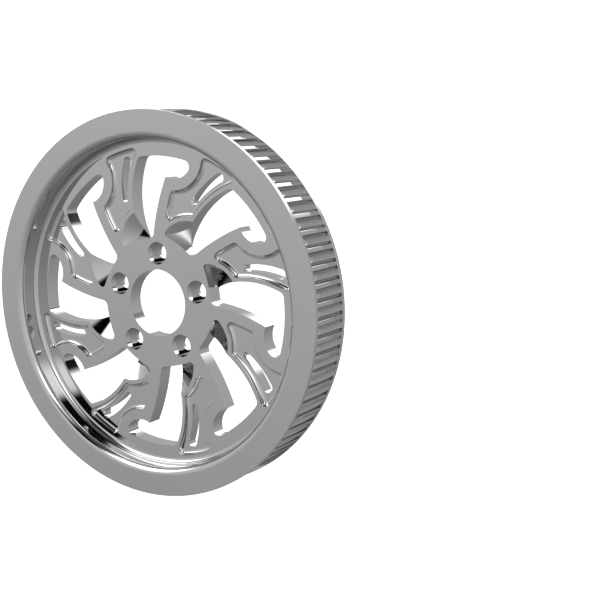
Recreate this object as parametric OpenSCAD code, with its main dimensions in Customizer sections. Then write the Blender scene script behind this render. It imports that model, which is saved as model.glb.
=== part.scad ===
// Belt pulley: toothed rim, curved spokes with scallops and slotted pockets, hub with five bolt holes.
// The axis is Z. The show face is up and the rear plane of the rim is at z = 0. Sizes are in mm.

/* [Rim] */
// Width of the rim along the axis
rim_width = 46.8; // [40:0.1:60]
// Radius of the two flanges
flange_r = 158.6; // [157:0.1:165]
// Thickness of each flange
flange_t = 3.8; // [2:0.1:6]
// Rounding on the edges of the flanges
flange_round = 0.8; // [0.2:0.1:1.5]
// Radius over the tips of the teeth
tip_r = 154.6; // [153:0.1:156]

/* [Teeth] */
// Number of teeth
teeth = 70; // [60:1:72]
// Radius of the round bottom of a tooth gap
gap_r = 4.9; // [3.5:0.1:5]
// Rounding on the tips of the teeth
tip_round = 0.8; // [0.3:0.1:1.1]
// Direction of the middle of the first tooth gap in degrees
gap_turn = 2.15; // [0:0.01:5.14]

/* [Recess] */
// Radius of the recess wall in front of the spokes
recess_r = 135.6; // [134:0.1:140]
// Rounding from the front face into the recess
recess_lip = 5.6; // [1:0.1:8]
// Fillet at the foot of the recess wall
recess_foot = 4.4; // [1:0.1:6]
// Depth from the front face down to the spokes
recess_depth = 19.46; // [16:0.01:22]
// Radius of the rear hollow
rear_r = 136.5; // [133:0.1:142]
// Fillet in the corner of the rear hollow
rear_foot = 4; // [1:0.1:6]

/* [Hub and spokes] */
// Thickness of the hub and the spokes
plate_t = 14; // [12:0.1:16]
// Radius of the bore
bore_r = 28; // [20:0.01:29]
// Number of bolts
bolts = 5; // [3:1:6]
// Diameter of the bolt circle
bolt_circle = 82.55; // [80:0.01:86]
// Direction of the first bolt in degrees
bolt_turn = 84.28; // [0:0.01:120]
// Radius of a bolt hole
bolt_r = 5.7; // [4:0.01:7]
// Radius of a counterbore
cbore_r = 9.3; // [8:0.1:10]
// Depth of a counterbore
cbore_depth = 10.8; // [6:0.1:12]

/* [Windows] */
// Number of windows, with as many spokes and pockets
windows = 8; // [8:1:8]
// Radius of the outer edge of the windows
window_out = 121; // [119:0.1:122]
// Edge on the pocket side: centre x, centre y, radius of the arc
window_left = [60.49, 83.12, 77.24];
// Edge on the bare side of the spoke: centre x, centre y, radius
window_right = [179.22, 18.19, 181.27];
// Edge at the hub: centre x, centre y, radius
window_foot = [1.26, -41.76, 95.35];
// Hook at the outer end: centre x, centre y, radius
window_hook = [28.4, 118.07, 17.8];
// Rounding of the corners of a window
window_round = 5.3; // [3:0.1:6]
// Rounding where the scalloped side meets the hub
window_inner = 2; // [1:0.1:3]

/* [Scallops] */
// Sloped cut beside the hub: centre x, centre y, radius at the face
scallop = [-3.06, 50.65, 28.47];
// Depth gained for each mm towards the centre of the scallop
scallop_slope = 0.633; // [0.4:0.001:0.7]
// Rounding of the tip of a scallop
scallop_round = 3.3; // [2:0.1:4]

/* [Pockets] */
// Depth of a pocket
pocket_depth = 3.9; // [2:0.1:6]
// Web between a pocket and the window beside it
pocket_web = 3; // [2:0.1:4]
// Web between a pocket and its scallop
scallop_web = 3.4; // [2.5:0.1:4]
// Web between a pocket and the next window
spoke_web = 8.9; // [7:0.1:10]
// Radius of the outer end of the pockets
pocket_out = 129.2; // [127:0.1:130]
// Rounding of the corners of a pocket
pocket_round = 4.2; // [3.3:0.1:5]

/* [Slots] */
// Hub side arc of the slot: centre x, centre y, radius
slot_left = [43.68, 93.52, 73.5];
// Window side arc of the slot: centre x, centre y, radius
slot_right = [59.04, 84.04, 83.45];
// Inner end of the slot: centre x, centre y, radius
slot_inner = [-26.93, 87.12, 2.75];
// Outer end of the slot: centre x, centre y, radius
slot_outer = [-21.52, 117.57, 4.2];

/* [Hidden] */
$fn = 180;
e = 0.01;
// How far a rounding reaches over the arcs that it joins
ease = 0.02;
step = 360 / windows;
plate_z = rim_width - recess_depth;
back_z = plate_z - plate_t;
floor_z = plate_z - pocket_depth;
gap_mid = tip_r - tip_round;
gap_half = gap_r + tip_round;
root_r = gap_mid - gap_r;
drum_r = root_r - 1;
// The far side of a spoke is the bare side of the window before it, one step round
pocket_right = widened(window_left, pocket_web);
pocket_foot = widened(scallop, scallop_web);
pocket_left = widened(turned(window_right, step), -spoke_web);
pocket_hook = widened(turned(window_hook, step), spoke_web);
pocket_edge = [0, 0, pocket_out];
window_edge = [0, 0, window_out];

function at(c) = [c[0], c[1]];
function widened(c, by) = [c[0], c[1], c[2] + by];
function turned(c, a) = [c[0] * cos(a) - c[1] * sin(a), c[0] * sin(a) + c[1] * cos(a), c[2]];
// The point where two arcs cross, on the left of the line from a to b (side 1) or on its right (side -1)
function crossing(a, b, side) =
  let (v = at(b) - at(a), d = norm(v), u = v / d, m = (a[2] * a[2] - b[2] * b[2] + d * d) / (2 * d))
  at(a) + m * u + side * sqrt(a[2] * a[2] - m * m) * [-u[1], u[0]];
function foot_on(c, p) = at(c) + (p - at(c)) * c[2] / norm(p - at(c));

module disc(c) {
  translate(at(c)) circle(r = c[2]);
}

// What a rounding r takes off the corner of a cut between arcs a and b. An arc counts as in = 1 when the
// cut lies inside it, and as in = -1 when the cut lies outside it.
module corner(a, in_a, b, in_b, side, r) {
  m = crossing(widened(a, -in_a * (r - ease)), widened(b, -in_b * (r - ease)), side);
  p = crossing(a, b, side);
  difference() {
    polygon([m, foot_on(a, m), m + 1.6 * (p - m), foot_on(b, m)]);
    translate(m) circle(r = r);
  }
}

module window_cut() {
  difference() {
    union() {
      difference() {
        intersection() {
          disc(window_edge);
          disc(window_left);
        }
        disc(window_right);
      }
      intersection() {
        disc(window_edge);
        disc(window_hook);
      }
    }
    disc(window_foot);
    corner(window_edge, 1, window_left, 1, 1, window_round);
    corner(window_edge, 1, window_hook, 1, -1, window_round);
    corner(window_right, -1, window_foot, -1, -1, window_round);
    corner(window_left, 1, window_foot, -1, -1, window_inner);
  }
}

module scallop_outline() {
  difference() {
    disc(scallop);
    disc(window_right);
    disc(window_foot);
    corner(scallop, 1, window_foot, -1, -1, scallop_round);
    corner(window_right, -1, window_foot, -1, -1, window_round);
  }
}

module scallop_cut() {
  deep = scallop_slope * scallop[2];
  intersection() {
    translate([scallop[0], scallop[1], plate_z - deep])
      cylinder(h = deep * 1.1, r1 = 0, r2 = scallop[2] * 1.1);
    translate([0, 0, back_z - 1]) linear_extrude(plate_t + 2) scallop_outline();
  }
}

module pocket_outline() {
  difference() {
    intersection() {
      disc(pocket_left);
      disc(pocket_edge);
      translate([-pocket_out, bolt_circle / 2]) square(pocket_out * [1, 1]);
    }
    disc(pocket_right);
    disc(pocket_foot);
    disc(pocket_hook);
    corner(pocket_left, 1, pocket_foot, -1, -1, pocket_round);
    corner(pocket_left, 1, pocket_hook, -1, 1, pocket_round);
    corner(pocket_edge, 1, pocket_hook, -1, -1, pocket_round);
    corner(pocket_edge, 1, pocket_right, -1, 1, pocket_round);
    corner(pocket_right, -1, pocket_foot, -1, -1, pocket_round);
  }
}

module slot_outline() {
  in = at(slot_inner);
  out = at(slot_outer);
  difference() {
    intersection() {
      disc(slot_left);
      polygon([in + 3 * (foot_on(slot_left, in) - in), in, in + 3 * (foot_on(slot_right, in) - in),
               out + 3 * (foot_on(slot_right, out) - out), out, out + 3 * (foot_on(slot_left, out) - out)]);
    }
    disc(slot_right);
  }
  disc(slot_inner);
  disc(slot_outer);
}

module gap_outline() {
  translate([gap_mid, 0]) circle(r = gap_r);
  difference() {
    translate([gap_mid, -gap_half]) square([flange_r - gap_mid, 2 * gap_half]);
    translate([gap_mid, gap_half]) circle(r = tip_round);
    translate([gap_mid, -gap_half]) circle(r = tip_round);
  }
}

module tooth_ring() {
  difference() {
    circle(r = tip_r);
    circle(r = drum_r - 2);
    for (i = [0 : teeth - 1]) {
      rotate(gap_turn + i * 360 / teeth) gap_outline();
    }
  }
}

// Half section of a flange, with its outer edges rounded
module flange_half() {
  f = flange_round;
  translate([drum_r - 2, 0]) square([flange_r - f - drum_r + 2, flange_t]);
  translate([drum_r - 2, f]) square([flange_r - drum_r + 2, flange_t - 2 * f]);
  translate([flange_r - f, f]) circle(r = f);
  translate([flange_r - f, flange_t - f]) circle(r = f);
}

// Half section of everything turned: drum, flanges and plate
module turned_half() {
  difference() {
    square([drum_r, rim_width]);
    // front recess
    translate([-1, plate_z]) square([recess_r + 1 - recess_foot, recess_depth + 1]);
    translate([-1, plate_z + recess_foot]) square([recess_r + 1, recess_depth]);
    translate([recess_r - recess_foot, plate_z + recess_foot]) circle(r = recess_foot);
    difference() {
      translate([recess_r - e, rim_width - recess_lip]) square([recess_lip + e, recess_lip + 1]);
      translate([recess_r + recess_lip, rim_width - recess_lip]) circle(r = recess_lip);
    }
    // rear hollow
    translate([-1, -1]) square([rear_r + 1, back_z + 1 - rear_foot]);
    translate([-1, -1]) square([rear_r + 1 - rear_foot, back_z + 1]);
    translate([rear_r - rear_foot, back_z - rear_foot]) circle(r = rear_foot);
  }
  flange_half();
  translate([0, rim_width - flange_t]) flange_half();
}

module bolt_cut() {
  translate([bolt_circle / 2, 0, back_z - 1]) cylinder(h = plate_t + 2, r = bolt_r);
  translate([bolt_circle / 2, 0, plate_z - cbore_depth]) cylinder(h = cbore_depth + 1, r = cbore_r);
}

module pulley() {
  color([0.78, 0.78, 0.8])
  difference() {
    union() {
      rotate_extrude() turned_half();
      translate([0, 0, flange_t - e]) linear_extrude(rim_width - 2 * flange_t + 2 * e) tooth_ring();
    }
    translate([0, 0, back_z - 1]) cylinder(h = plate_t + 2, r = bore_r);
    for (i = [0 : bolts - 1]) {
      rotate(bolt_turn + i * 360 / bolts) bolt_cut();
    }
    for (i = [0 : windows - 1]) {
      rotate(i * step) {
        translate([0, 0, back_z - 1]) linear_extrude(plate_t + 2) window_cut();
        translate([0, 0, floor_z]) linear_extrude(pocket_depth + 1) pocket_outline();
        translate([0, 0, back_z - 1]) linear_extrude(plate_t + 2) slot_outline();
        scallop_cut();
      }
    }
  }
}

pulley();
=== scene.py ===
import math

import bpy
import numpy as np
from mathutils import Matrix, Vector, geometry


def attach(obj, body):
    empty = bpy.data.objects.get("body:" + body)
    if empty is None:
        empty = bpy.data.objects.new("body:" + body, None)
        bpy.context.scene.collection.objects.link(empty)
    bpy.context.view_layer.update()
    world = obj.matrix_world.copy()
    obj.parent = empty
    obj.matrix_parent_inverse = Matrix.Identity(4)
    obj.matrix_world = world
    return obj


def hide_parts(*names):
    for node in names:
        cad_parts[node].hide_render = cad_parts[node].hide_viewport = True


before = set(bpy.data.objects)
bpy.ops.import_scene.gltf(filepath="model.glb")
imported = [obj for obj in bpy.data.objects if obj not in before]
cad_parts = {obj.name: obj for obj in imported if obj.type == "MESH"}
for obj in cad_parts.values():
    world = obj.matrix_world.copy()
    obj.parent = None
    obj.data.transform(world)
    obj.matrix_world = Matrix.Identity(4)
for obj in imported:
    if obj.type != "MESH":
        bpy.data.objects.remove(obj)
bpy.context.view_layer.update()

# ---------------------------------------------------------------- sizes
# In mm and degrees, as in the CAD model. Only FLANGE_ROUND (0.8 there) and POCKET_FILLET (sharp there) differ.
WIDTH, FLANGE_R, FLANGE_T, FLANGE_ROUND = 46.8, 158.6, 3.8, 0.3
TIP_R, TEETH, GAP_R, TIP_ROUND, GAP_TURN = 154.6, 70, 4.9, 0.8, 2.15
RECESS_R, LIP, FOOT, DEPTH = 135.6, 5.6, 4.4, 19.46
REAR_R, REAR_FOOT, PLATE_T = 136.5, 4.0, 14.0
BORE_R, BOLTS, BOLT_CIRCLE, BOLT_TURN, BOLT_R = 28.0, 5, 82.55, 84.28, 5.7
CBORE_R, CBORE_DEPTH = 9.3, 10.8
POCKET_DEPTH, POCKET_FILLET = 3.9, 3.7
WINDOWS = 8
WINDOW_ROUND, WINDOW_INNER, SCALLOP_ROUND, POCKET_ROUND = 5.3, 2.0, 3.3, 4.2
POCKET_WEB, SCALLOP_WEB, SPOKE_WEB = 3.0, 3.4, 8.9
SLOPE = 0.633  # depth that a scallop gains for each mm towards its centre
# Heights of the plate's front and back and of the pocket floors
PLATE = WIDTH - DEPTH
BACK = PLATE - PLATE_T
FLOOR = PLATE - POCKET_DEPTH
STEP = 360.0 / WINDOWS


def spun(p, a):
    """Point p turned by a degrees about the axis."""
    c, s = math.cos(math.radians(a)), math.sin(math.radians(a))
    return (p[0] * c - p[1] * s, p[0] * s + p[1] * c)


def turned(c, a):
    """Circle (centre x, centre y, radius) or point (x, y, z) c, turned by a degrees about the axis."""
    return (*spun(c, a), c[2])


def wider(c, by):
    return (c[0], c[1], c[2] + by)


# Circles that the cuts in the plate are made of: W the window, P the pocket, S the slot
W_LEFT, W_RIGHT = (60.49, 83.12, 77.24), (179.22, 18.19, 181.27)
W_FOOT, W_HOOK, W_EDGE = (1.26, -41.76, 95.35), (28.4, 118.07, 17.8), (0.0, 0.0, 121.0)
SCALLOP = (-3.06, 50.65, 28.47)
P_RIGHT, P_FOOT, P_EDGE = wider(W_LEFT, POCKET_WEB), wider(SCALLOP, SCALLOP_WEB), (0.0, 0.0, 129.2)
P_LEFT, P_HOOK = wider(turned(W_RIGHT, STEP), -SPOKE_WEB), wider(turned(W_HOOK, STEP), SPOKE_WEB)
S_LEFT, S_RIGHT = (43.68, 93.52, 73.5), (59.04, 84.04, 83.45)
S_INNER, S_OUTER = (-26.93, 87.12, 2.75), (-21.52, 117.57, 4.2)
# Each outline: arcs in order, each with the side of it that is cut (1 inside, -1 outside), the rounding of
# the corner that ends it, and about where that corner lies
WINDOW = [(W_LEFT, 1, WINDOW_ROUND, (-7, 116)), (W_EDGE, 1, WINDOW_ROUND, (39, 112)),
          (W_HOOK, 1, 0, (19, 101.6)), (W_RIGHT, -1, WINDOW_ROUND, (-2, 55)),
          (W_FOOT, -1, WINDOW_INNER, (-10.9, 53))]
# The mouth is the window together with its scallop, at the plate's front face
MOUTH = WINDOW[:4] + [(W_FOOT, -1, SCALLOP_ROUND, (-28.3, 50)), (SCALLOP, 1, 0, (-16.75, 75.75))]
POCKET = [(P_RIGHT, -1, POCKET_ROUND, (-9, 127)), (P_EDGE, 1, POCKET_ROUND, (-39, 122)),
          (P_HOOK, -1, POCKET_ROUND, (-46, 84)), (P_LEFT, 1, POCKET_ROUND, (-41, 62)),
          (P_FOOT, -1, POCKET_ROUND, (-19.5, 78))]
SMALLEST_ROUND = 0.25  # the least that an inset leaves of a rounding


def crossing(a, b, near):
    """The point where circles a and b cross, the one nearest to near."""
    dx, dy = b[0] - a[0], b[1] - a[1]
    d = math.hypot(dx, dy)
    m = (a[2] ** 2 - b[2] ** 2 + d * d) / (2 * d)
    h = math.sqrt(max(a[2] ** 2 - m * m, 0))
    both = [(a[0] + m * dx / d - s * h * dy / d, a[1] + m * dy / d + s * h * dx / d) for s in (1, -1)]
    return min(both, key=lambda p: math.dist(p, near))


def on_circle(c, t, sign):
    """The point of circle c at angle t, with its 2D normal: sign 1 outwards, -1 inwards."""
    return (c[0] + c[2] * math.cos(t), c[1] + c[2] * math.sin(t), sign * math.cos(t), sign * math.sin(t))


def angle_at(c, p):
    return math.atan2(p[1] - c[1], p[0] - c[0])


def arc(c, p, q, sign, step=0.7, count=None):
    """Points on circle c from p to q the short way, about step mm apart or count of them."""
    a0, a1 = angle_at(c, p), angle_at(c, q)
    sweep = (a1 - a0 + math.pi) % (2 * math.pi) - math.pi
    n = count or max(2, int(abs(sweep) * max(c[2] / step, 18)) + 1)
    return [on_circle(c, a0 + sweep * i / n, sign) for i in range(n + 1)]


def outline(arcs, inset=0.0, counts=None):
    """The outline's stretches in order. Each is a list of (x, y, nx, ny), with normals into the cut."""
    ends = []
    for (a, sa, rnd, near), (b, sb, _, _) in zip(arcs, arcs[1:] + arcs[:1]):
        a, b = wider(a, -sa * inset), wider(b, -sb * inset)
        q = max(rnd - inset, SMALLEST_ROUND) if rnd else 0.0
        m = crossing(wider(a, -sa * q), wider(b, -sb * q), near)
        on = []
        for c in (a, b):
            d = math.dist(m, c[:2])
            on.append((c[0] + (m[0] - c[0]) * c[2] / d, c[1] + (m[1] - c[1]) * c[2] / d))
        ends.append((on[0], on[1], (m[0], m[1], q)))
    out = []
    for i, (a, sa, rnd, _) in enumerate(arcs):
        count = counts[len(out)] if counts else None
        out.append(arc(wider(a, -sa * inset), ends[i - 1][1], ends[i][0], -sa, count=count))
        if rnd:
            count = counts[len(out)] if counts else None
            out.append(arc(ends[i][2], ends[i][0], ends[i][1], -1, count=count))
    return out


def slot_outline():
    """The slot's two long arcs and its round ends, which reach a little past the arcs."""
    a, b = crossing(S_LEFT, S_INNER, (-29.5, 87)), crossing(S_LEFT, S_OUTER, (-25.5, 119))
    c, d = crossing(S_RIGHT, S_OUTER, (-17.6, 116)), crossing(S_RIGHT, S_INNER, (-24.3, 87))
    ends = []
    for m, p, q in ((S_OUTER, b, c), (S_INNER, d, a)):
        u, v = q[1] - p[1], p[0] - q[0]
        k = m[2] / math.hypot(u, v)
        tip = (m[0] - u * k, m[1] - v * k)
        ends.append(arc(m, p, tip, -1) + arc(m, tip, q, -1)[1:])
    return [arc(S_LEFT, a, b, -1), ends[0], arc(S_RIGHT, c, d, 1), ends[1]]


def spin(pts, a):
    """Stretches turned by a degrees about the axis."""
    c, s = math.cos(math.radians(a)), math.sin(math.radians(a))
    return [[(x * c - y * s, x * s + y * c, u * c - v * s, u * s + v * c) for x, y, u, v in part] for part in pts]


def circle(x, y, r, n):
    """A round hole as an outline of one stretch."""
    return [[on_circle((x, y, r), 2 * math.pi * i / n, -1) for i in range(n + 1)]]


class Skin:
    """Collects faces with the true normal at each corner."""

    def __init__(self):
        self.v, self.n, self.f = [], [], []

    def add(self, pts, normals, faces):
        k = len(self.v)
        self.v += pts
        self.n += normals
        for f in faces:
            # turn the face over where it faces away from its corners' normals
            p = [Vector(pts[i]) for i in f]
            want = sum((Vector(normals[i]) for i in f), Vector())
            if (p[1] - p[0]).cross(p[2] - p[0]).dot(want) < 0 or \
                    (p[-1] - p[0]).length > 1e-9 and (p[2] - p[0]).cross(p[-1] - p[0]).dot(want) < 0:
                f = f[::-1]
            self.f.append([k + i for i in f])

    def grid(self, rows):
        """rows of (point, normal), all the same length."""
        m = len(rows[0])
        pts = [p for row in rows for p, _ in row]
        nor = [n for row in rows for _, n in row]
        self.add(pts, nor, [(i * m + j, i * m + j + 1, (i + 1) * m + j + 1, (i + 1) * m + j)
                            for i in range(len(rows) - 1) for j in range(m - 1)])

    def wall(self, stretches, low, high):
        """Upright wall; low and high are heights, or functions of a point."""
        lo = low if callable(low) else lambda p: low
        hi = high if callable(high) else lambda p: high
        for part in stretches:
            self.grid([[((p[0], p[1], h(p)), (p[2], p[3], 0)) for p in part] for h in (lo, hi)])

    def flat(self, z, up, loops):
        """Flat face between closed loops, by even-odd."""
        verts, edges = [], []
        rings = []
        for loop in loops:
            pts = [(p[0], p[1]) for part in loop for p in part[:-1]]
            k = len(verts)
            verts += [Vector(p) for p in pts]
            edges += [(k + i, k + (i + 1) % len(pts)) for i in range(len(pts))]
            rings.append(np.array(pts))
        vs, _, faces, _, _, _ = geometry.delaunay_2d_cdt(verts, edges, [], 0, 1e-6)
        mid = np.array([[sum(vs[i][k] for i in f) / 3 for k in (0, 1)] for f in faces])
        inside = np.zeros(len(mid), int)
        for r in rings:
            s = np.roll(r, -1, 0)
            for (x0, y0), (x1, y1) in zip(r, s):
                if y0 != y1:
                    hit = ((y0 > mid[:, 1]) != (y1 > mid[:, 1]))
                    inside[hit] += mid[hit, 0] < (x1 - x0) * (mid[hit, 1] - y0) / (y1 - y0) + x0
        self.add([(v[0], v[1], z) for v in vs], [(0, 0, up)] * len(vs),
                 [list(f) for f, k in zip(faces, inside) if k % 2])

    def turn(self, profile, n=360):
        """profile of (r, z, nr, nz), turned round the axis."""
        ts = [2 * math.pi * i / n for i in range(n + 1)]
        self.grid([[((r * math.cos(t), r * math.sin(t), z), (a * math.cos(t), a * math.sin(t), b)) for t in ts]
                   for r, z, a, b in profile])


def bend(r, z, rad, a0, a1, sign, n=10):
    """A quarter round in a turned profile."""
    ts = [math.radians(a0 + (a1 - a0) * i / n) for i in range(n + 1)]
    return [(r + rad * math.cos(t), z + rad * math.sin(t), sign * math.cos(t), sign * math.sin(t)) for t in ts]


def cone_z(p):
    """Height of the unturned scallop's slope."""
    return PLATE - SLOPE * (SCALLOP[2] - math.dist(p[:2], SCALLOP[:2]))


def add_window(skin, a):
    """A window with its scallop, turned by a degrees. Gives its outlines at the front and at the back."""
    # stretches of the window: left, corner, edge, corner, hook, right, corner, foot, corner
    window = outline(WINDOW)
    mouth = outline(MOUTH)
    meet = mouth[-1][-1]
    skin.wall(spin([arc(W_LEFT, meet, window[0][-1], -1)] + window[1:8], a), BACK, PLATE)

    def slope_z(p):
        return cone_z(spun(p, -a))

    # below the scallop the wall starts at its slope
    corner, left = window[8], arc(W_LEFT, window[0][0], meet, -1)
    skin.wall(spin([corner, left], a), BACK, slope_z)
    # the foot and the tip stand above the slope
    foot, tip = arc(W_FOOT, window[7][-1], mouth[7][-1], 1), mouth[8]
    skin.wall(spin([foot, tip], a), slope_z, PLATE)
    # the slope itself, along lines to the scallop's axis
    rim = foot[::-1][:-1] + corner + left
    cx, cy, cr = SCALLOP
    tx, ty = crossing(wider(W_FOOT, SCALLOP_ROUND), wider(SCALLOP, -SCALLOP_ROUND), (-28.3, 52.7))
    split = math.atan2(ty - cy, tx - cx)
    k = SLOPE / math.hypot(1, SLOPE)
    rows = []
    for x, y, _, _ in rim:
        d = math.dist((x, y), (cx, cy))
        ux, uy = (x - cx) / d, (y - cy) / d
        far = cr
        if (math.atan2(uy, ux) - split) % (2 * math.pi) < math.pi:
            # the rounding of the tip ends this line
            b = ux * (tx - cx) + uy * (ty - cy)
            far = min(cr, b + math.sqrt(max(b * b - (tx - cx) ** 2 - (ty - cy) ** 2 + SCALLOP_ROUND ** 2, 0)))
        far = max(far, d)
        normal = turned((-ux * k, -uy * k, math.sqrt(1 - k * k)), a)
        row = []
        for i in range(5):
            r = d + (far - d) * i / 4
            q = (cx + ux * r, cy + uy * r)
            row.append((turned((*q, cone_z(q)), a), normal))
        rows.append(row)
    skin.grid(rows)
    return spin(mouth, a), spin(window, a)


def add_pocket(skin, a, steps=8):
    """A pocket with its slot, turned by a degrees. Gives the pocket's outline at the front and the slot's."""
    base = outline(POCKET)
    counts = [len(part) - 1 for part in base]
    # each ring: outline, height, and how far its normals lean up
    rings = [(base, PLATE, 0.0), (base, FLOOR + POCKET_FILLET, 0.0)]
    for i in range(1, steps + 1):
        t = math.radians(90 * i / steps)
        rings.append((outline(POCKET, POCKET_FILLET * (1 - math.cos(t)), counts),
                      FLOOR + POCKET_FILLET * (1 - math.sin(t)), t))
    rings = [(spin(r, a), z, t) for r, z, t in rings]
    for k in range(len(base)):
        skin.grid([[((x, y, z), (u * math.cos(t), v * math.cos(t), math.sin(t))) for x, y, u, v in r[k]]
                   for r, z, t in rings])
    slot = spin(slot_outline(), a)
    skin.flat(FLOOR, 1, [rings[-1][0], slot])
    skin.wall(slot, BACK, FLOOR)
    return rings[0][0], slot


def add_teeth(skin):
    """The toothed drum between the flanges, with the flanges' inner faces."""
    mid = TIP_R - TIP_ROUND
    beta = 2 * math.asin((GAP_R + TIP_ROUND) / 2 / mid)  # from the middle of a gap to the centre of a tip's rounding
    line = []
    for i in range(TEETH):
        g = math.radians(GAP_TURN + 360 * i / TEETH)
        c = (mid * math.cos(g), mid * math.sin(g), GAP_R)
        for side in (-1, 1):
            b = g + side * beta
            m = (mid * math.cos(b), mid * math.sin(b), TIP_ROUND)
            d = math.dist(c[:2], m[:2])
            touch = (m[0] + (c[0] - m[0]) * TIP_ROUND / d, m[1] + (c[1] - m[1]) * TIP_ROUND / d)
            land = (TIP_R * math.cos(b), TIP_R * math.sin(b))
            if side < 0:
                line += arc(m, land, touch, 1, count=6)
                start = angle_at(c, touch)
            else:
                # the round bottom runs clockwise, seen from the front
                sweep = -((start - angle_at(c, touch)) % (2 * math.pi))
                line += [on_circle(c, start + sweep * j / 16, -1) for j in range(1, 16)]
                line += arc(m, touch, land, 1, count=6)
    line.append(line[0])
    skin.wall([line], FLANGE_T, WIDTH - FLANGE_T)
    edge = FLANGE_R - FLANGE_ROUND
    outer = [(p[0] * edge / math.hypot(*p[:2]), p[1] * edge / math.hypot(*p[:2])) for p in line]
    for z, up in ((FLANGE_T, 1), (WIDTH - FLANGE_T, -1)):
        skin.grid([[((p[0], p[1], z), (0, 0, up)) for p in side] for side in (line, outer)])


def build():
    """The whole pulley."""
    skin = Skin()
    edge = FLANGE_R - FLANGE_ROUND
    # front face, lip, recess wall and foot
    skin.turn([(edge, WIDTH, 0, 1), (RECESS_R + LIP, WIDTH, 0, 1)])
    skin.turn(bend(RECESS_R + LIP, WIDTH - LIP, LIP, 90, 180, 1, 14)
              + bend(RECESS_R - FOOT, PLATE + FOOT, FOOT, 0, -90, -1, 12))
    # edges of the flanges
    for z in (0, WIDTH - FLANGE_T):
        skin.turn(bend(edge, z + FLANGE_ROUND, FLANGE_ROUND, -90, 0, 1, 6)
                  + bend(edge, z + FLANGE_T - FLANGE_ROUND, FLANGE_ROUND, 0, 90, 1, 6))
    # rear side
    skin.turn([(REAR_R, 0, 0, -1), (edge, 0, 0, -1)])
    skin.turn([(REAR_R, 0, -1, 0)] + bend(REAR_R - REAR_FOOT, BACK - REAR_FOOT, REAR_FOOT, 0, 90, -1, 10))
    add_teeth(skin)
    top = [circle(0, 0, RECESS_R - FOOT, 360), circle(0, 0, BORE_R, 120)]
    back = [circle(0, 0, REAR_R - REAR_FOOT, 360), circle(0, 0, BORE_R, 120)]
    skin.wall(circle(0, 0, BORE_R, 120), BACK, PLATE)
    for i in range(BOLTS):
        t = math.radians(BOLT_TURN + 360 / BOLTS * i)
        x, y = BOLT_CIRCLE / 2 * math.cos(t), BOLT_CIRCLE / 2 * math.sin(t)
        wide, hole = circle(x, y, CBORE_R, 72), circle(x, y, BOLT_R, 60)
        skin.wall(wide, PLATE - CBORE_DEPTH, PLATE)
        skin.flat(PLATE - CBORE_DEPTH, 1, [wide, hole])
        skin.wall(hole, BACK, PLATE - CBORE_DEPTH)
        top.append(wide)
        back.append(hole)
    for i in range(WINDOWS):
        mouth, window = add_window(skin, i * STEP)
        pocket, slot = add_pocket(skin, i * STEP)
        top += [mouth, pocket]
        back += [window, slot]
    skin.flat(PLATE, 1, top)
    skin.flat(BACK, -1, back)
    return skin


def to_object(skin, name):
    """A Blender object in metres, shaded with the true normals."""
    me = bpy.data.meshes.new(name)
    me.from_pydata([tuple(c / 1000 for c in v) for v in skin.v], [], skin.f)
    me.polygons.foreach_set("use_smooth", [True] * len(me.polygons))
    me.update()
    me.normals_split_custom_set_from_vertices([Vector(n).normalized() for n in skin.n])
    obj = bpy.data.objects.new(name, me)
    bpy.context.scene.collection.objects.link(obj)
    return obj


# ---------------------------------------------------------------- materials
def nodes_of(name):
    """A new material with its node and link makers, its shader and its object coordinates."""
    mat = bpy.data.materials.new(name)
    mat.use_nodes = True
    nt = mat.node_tree
    place = nt.nodes.new("ShaderNodeTexCoord").outputs["Object"]
    return mat, nt.nodes.new, nt.links.new, nt.nodes["Principled BSDF"], place


def chrome():
    mat, n, link, bsdf, place = nodes_of("chrome")
    bsdf.inputs["Metallic"].default_value = 1.0
    # faint clouds in the colour
    cloud = n("ShaderNodeTexNoise")
    cloud.inputs["Scale"].default_value = 9.0
    cloud.inputs["Detail"].default_value = 4.0
    link(place, cloud.inputs["Vector"])
    tint = n("ShaderNodeValToRGB")
    for element, (at, grey) in zip(tint.color_ramp.elements, ((0.3, 0.535), (0.7, 0.555))):
        element.position, element.color = at, (grey, grey, grey, 1)
    link(cloud.outputs["Fac"], tint.inputs["Fac"])
    link(tint.outputs["Color"], bsdf.inputs["Base Color"])
    # faint polishing haze in the roughness and in the bump
    haze = n("ShaderNodeTexNoise")
    haze.inputs["Scale"].default_value = 60.0
    haze.inputs["Detail"].default_value = 6.0
    link(place, haze.inputs["Vector"])
    rough = n("ShaderNodeMapRange")
    rough.inputs["To Min"].default_value = 0.035
    rough.inputs["To Max"].default_value = 0.075
    link(haze.outputs["Fac"], rough.inputs["Value"])
    link(rough.outputs["Result"], bsdf.inputs["Roughness"])
    bump = n("ShaderNodeBump")
    bump.inputs["Strength"].default_value = 0.015
    bump.inputs["Distance"].default_value = 0.0005
    link(haze.outputs["Fac"], bump.inputs["Height"])
    link(bump.outputs["Normal"], bsdf.inputs["Normal"])
    return mat


def floor_paint():
    mat, n, link, bsdf, place = nodes_of("floor")
    noise = n("ShaderNodeTexNoise")
    noise.inputs["Scale"].default_value = 3.0
    link(place, noise.inputs["Vector"])
    ramp = n("ShaderNodeValToRGB")
    for element, grey in zip(ramp.color_ramp.elements, (0.90, 0.92)):
        element.color = (grey, grey, grey, 1)
    link(noise.outputs["Fac"], ramp.inputs["Fac"])
    link(ramp.outputs["Color"], bsdf.inputs["Base Color"])
    bsdf.inputs["Roughness"].default_value = 0.9
    bsdf.inputs["Specular IOR Level"].default_value = 0.0
    bsdf.inputs["Emission Color"].default_value = (1, 1, 1, 1)
    bsdf.inputs["Emission Strength"].default_value = 1.0
    return mat


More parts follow.
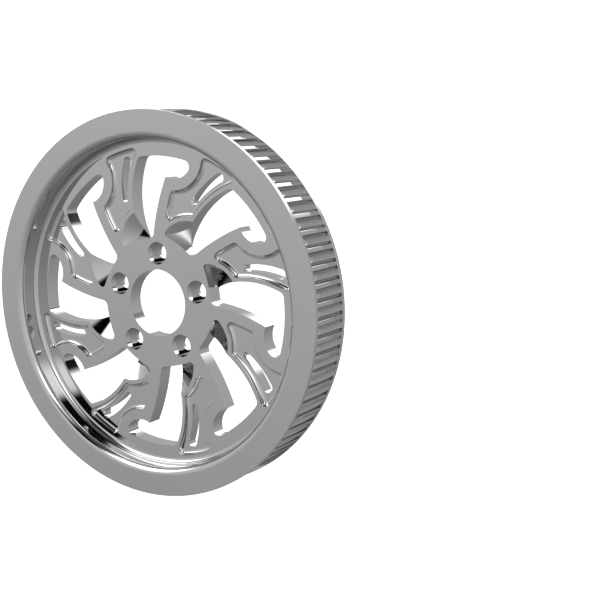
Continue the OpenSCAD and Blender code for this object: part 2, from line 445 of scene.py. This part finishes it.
# ---------------------------------------------------------------- the pulley
pulley = to_object(build(), "chrome_pulley")
pulley.data.materials.append(chrome())
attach(pulley, "root")
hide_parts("pulley")
solid = bpy.data.objects["pulley"]
solid.data.materials.clear()
solid.data.materials.append(pulley.data.materials[0])

# ---------------------------------------------------------------- floor, light and camera
FLOOR_SIZE, FLOOR_GAP = 60.0, 0.0002
bpy.ops.mesh.primitive_plane_add(size=FLOOR_SIZE, location=(0, 0, -FLOOR_GAP))
floor = bpy.context.object
floor.name = "floor"
floor.data.materials.append(floor_paint())
floor.visible_glossy = False  # the metal mirrors the studio


# Light boxes and flags of the studio: middle azimuth, half width, softness, middle elevation, half height,
# softness, all in degrees, and the brightness
BOXES = [
    (86, 15, 7, 18, 20, 8, 0.09),  # grey gap between the two white boxes
    (124, 19, 6, 26, 19, 6, 3.4),
    (47, 12, 8, 34, 14, 7, 3.0),
    (84, 24, 4, 50.5, 8.5, 3, 0.002),  # black flag over them
    (88, 12, 5, 38, 9, 4, 0.003),  # black flag between them
    (84, 36, 8, -46, 17, 3, 2.6),  # low strip that the belt teeth mirror
    (38, 10, 4, -44, 7, 3, 0.01),  # black flag in it
]
# Greys of the walls against the cosine of the angle from the darkest side, and of the horizon against height
DARKEST = math.radians(258)
WALLS = [(-1, 0.95), (-0.45, 0.89), (-0.2, 0.83), (0, 0.755), (0.25, 0.615), (0.43, 0.505), (0.65, 0.39), (1, 0.27)]
HORIZON = [(-1, 0.6), (-0.8, 0.72), (-0.3, 0.9), (-0.08, 0.75), (0, 0.55), (0.12, 0.8), (0.28, 1), (1, 1)]


def studio():
    """A soft grey studio all round, darker on one side and at the horizon, with light boxes and black flags."""
    world = bpy.data.worlds.new("studio")
    bpy.context.scene.world = world
    world.use_nodes = True
    nt = world.node_tree
    n, link = nt.nodes.new, nt.links.new
    way = n("ShaderNodeTexCoord").outputs["Generated"]
    xyz = n("ShaderNodeSeparateXYZ")
    link(way, xyz.inputs[0])

    def calc(op, *args):
        node = n("ShaderNodeMath")
        node.operation = op
        for i, arg in enumerate(args):
            if isinstance(arg, (int, float)):
                node.inputs[i].default_value = arg
            else:
                link(arg, node.inputs[i])
        return node.outputs[0]

    azimuth = calc("MULTIPLY", calc("ARCTAN2", xyz.outputs[1], xyz.outputs[0]), 180 / math.pi)
    height = calc("MULTIPLY", calc("ARCSINE", xyz.outputs[2]), 180 / math.pi)

    def within(value, middle, half, soft):
        """1 within half of the middle and 0 beyond it, with a soft edge."""
        mp = n("ShaderNodeMapRange")
        mp.interpolation_type = "SMOOTHSTEP"
        mp.inputs["From Min"].default_value = half + soft
        mp.inputs["From Max"].default_value = half - soft
        link(calc("ABSOLUTE", calc("SUBTRACT", value, middle)), mp.inputs["Value"])
        return mp.outputs["Result"]

    def ramp(value, steps):
        """A grey for each value from -1 to 1."""
        node = n("ShaderNodeValToRGB")
        while len(node.color_ramp.elements) < len(steps):
            node.color_ramp.elements.new(0.5)
        for element, (place, grey) in zip(node.color_ramp.elements, steps):
            element.position, element.color = place / 2 + 0.5, (grey, grey, grey, 1)
        link(calc("MULTIPLY_ADD", value, 0.5, 0.5), node.inputs["Fac"])
        return node.outputs["Color"]

    dot = n("ShaderNodeVectorMath")
    dot.operation = "DOT_PRODUCT"
    dot.inputs[1].default_value = (math.cos(DARKEST), math.sin(DARKEST), 0)
    link(way, dot.inputs[0])
    total = calc("MULTIPLY", ramp(dot.outputs["Value"], WALLS), ramp(xyz.outputs[2], HORIZON))
    for az, half, soft, el, tall, fade, value in BOXES:
        mix = n("ShaderNodeMix")
        link(calc("MULTIPLY", within(azimuth, az, half, soft), within(height, el, tall, fade)), mix.inputs[0])
        link(total, mix.inputs[2])
        mix.inputs[3].default_value = value
        total = mix.outputs[0]
    link(total, nt.nodes["Background"].inputs["Color"])


studio()

# The camera as fitted to the photograph
cam_data = bpy.data.cameras.new("camera")
cam = bpy.data.objects.new("camera", cam_data)
bpy.context.scene.collection.objects.link(cam)
cam.matrix_world = Matrix(((0.80889191, 0.0, 0.58795738, 0.559353), (-0.0829733, 0.98999231, 0.11415186, 0.107132),
                           (-0.58207329, -0.14112128, 0.80079677, 0.768451), (0, 0, 0, 1)))
cam_data.sensor_width = 36.0
cam_data.lens = 67.74
cam_data.shift_x = 0.2133
cam_data.shift_y = 0.0017
cam_data.clip_end = 50.0
bpy.context.scene.camera = cam
bpy.context.scene.view_settings.view_transform = "Standard"
